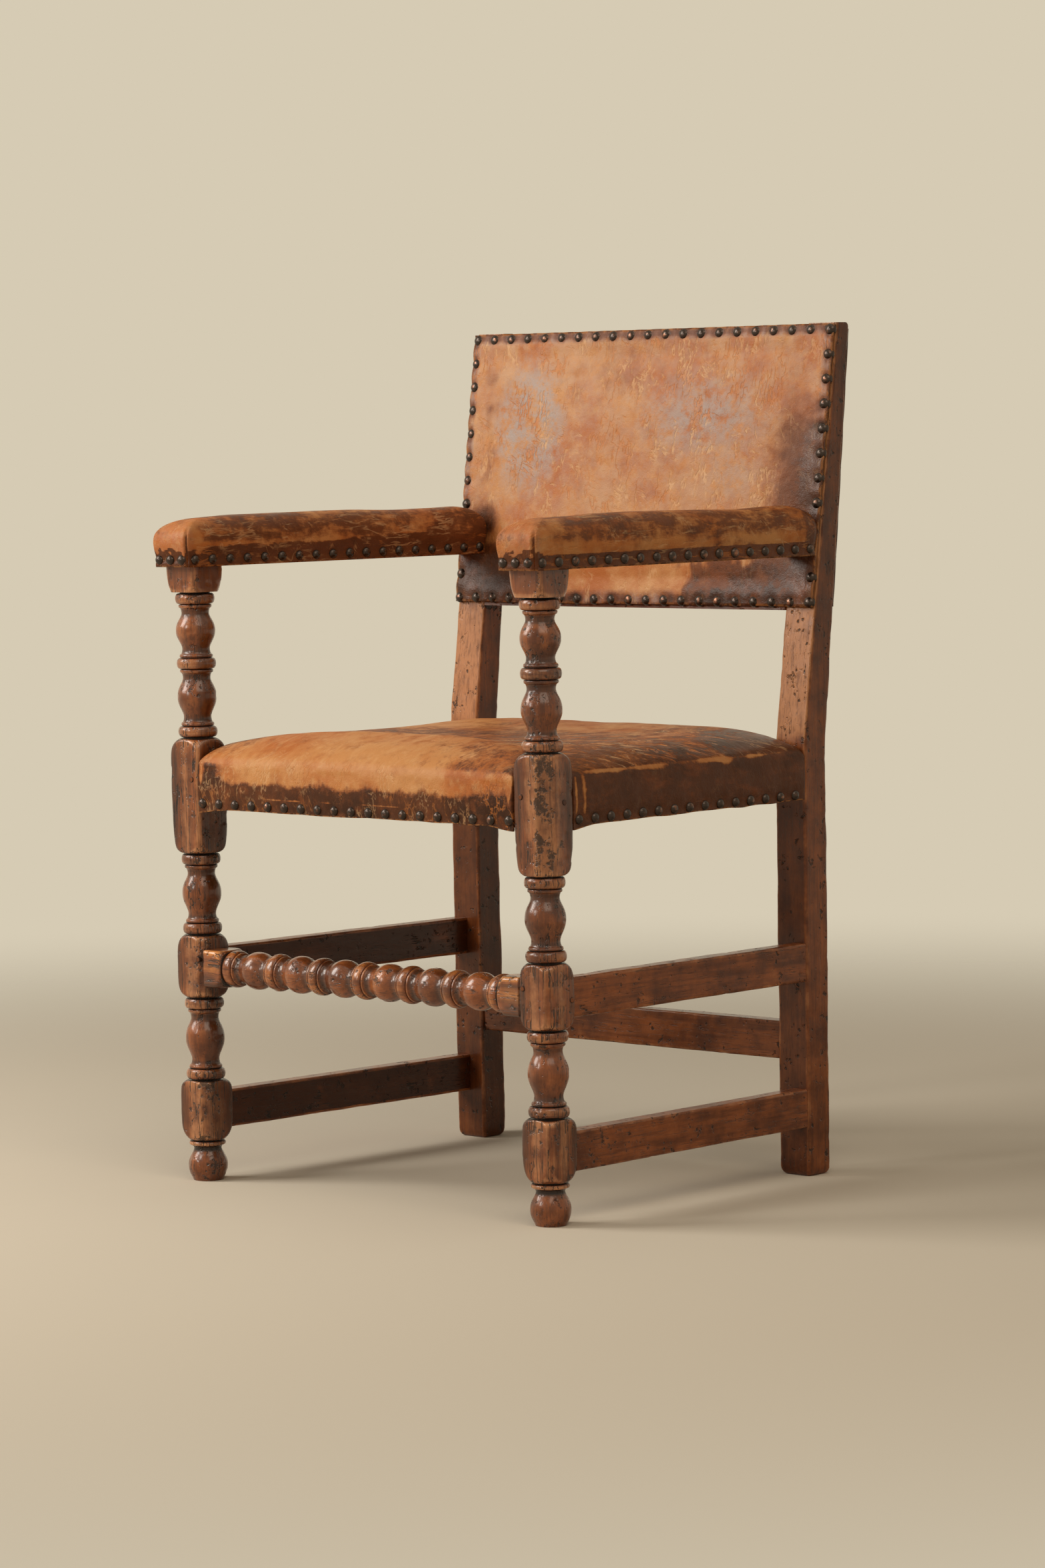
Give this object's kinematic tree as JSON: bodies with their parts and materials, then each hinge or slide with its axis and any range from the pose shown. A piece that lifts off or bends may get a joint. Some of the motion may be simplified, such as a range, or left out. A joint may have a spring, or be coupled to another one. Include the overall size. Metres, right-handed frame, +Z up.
{
  "type": "armchair",
  "caption": "Open armchair with bobbin-turned front legs and front stretcher, plain side stretchers, raked square back, and a nailed leather seat, back and arm pads.",
  "frame": {"origin": "on the floor, under the middle of the chair's bounding box", "axes": "+Z up, the chair faces -Y, +X is the right-hand side seen from the front"},
  "size_m": [0.5608, 0.5152, 0.9],
  "materials": {
    "oak": "dark stained and waxed, worn at the arrises",
    "leather": "old tan hide, semi-gloss, darkened at the edges",
    "canvas": "plain woven, matt",
    "stuffing": "loose hair and wadding, matt"
  },
  "bodies": {
    "root": {"arm_board_left": "oak", "arm_board_right": "oak", "arm_leather_left": "leather", "arm_leather_right": "leather", "arm_stuffing_left": "stuffing", "arm_stuffing_right": "stuffing", "back_bottom_rail": "oak", "back_canvas": "canvas", "back_leather": "leather", "back_outside_leather": "leather", "back_padding": "stuffing", "back_stretcher": "oak", "back_top_rail": "oak", "bobbin_stretcher": "oak", "front_leg_left": "oak", "front_leg_right": "oak", "peg_middle_front_left": "oak", "peg_middle_front_right": "oak", "peg_middle_side_left": "oak", "peg_middle_side_right": "oak", "peg_seat_front_left": "oak", "peg_seat_front_right": "oak", "peg_seat_side_left": "oak", "peg_seat_side_right": "oak", "rear_leg_left": "oak", "rear_leg_right": "oak", "seat_canvas": "canvas", "seat_leather": "leather", "seat_rail_back": "oak", "seat_rail_front": "oak", "seat_rail_left": "oak", "seat_rail_right": "oak", "seat_stuffing": "stuffing", "side_stretcher_lower_left": "oak", "side_stretcher_lower_right": "oak", "side_stretcher_upper_left": "oak", "side_stretcher_upper_right": "oak", "webbing_across_1": "canvas", "webbing_across_2": "canvas", "webbing_across_3": "canvas", "webbing_across_4": "canvas", "webbing_along_1": "canvas", "webbing_along_2": "canvas", "webbing_along_3": "canvas", "webbing_along_4": "canvas"}
  },
  "joints": []
}
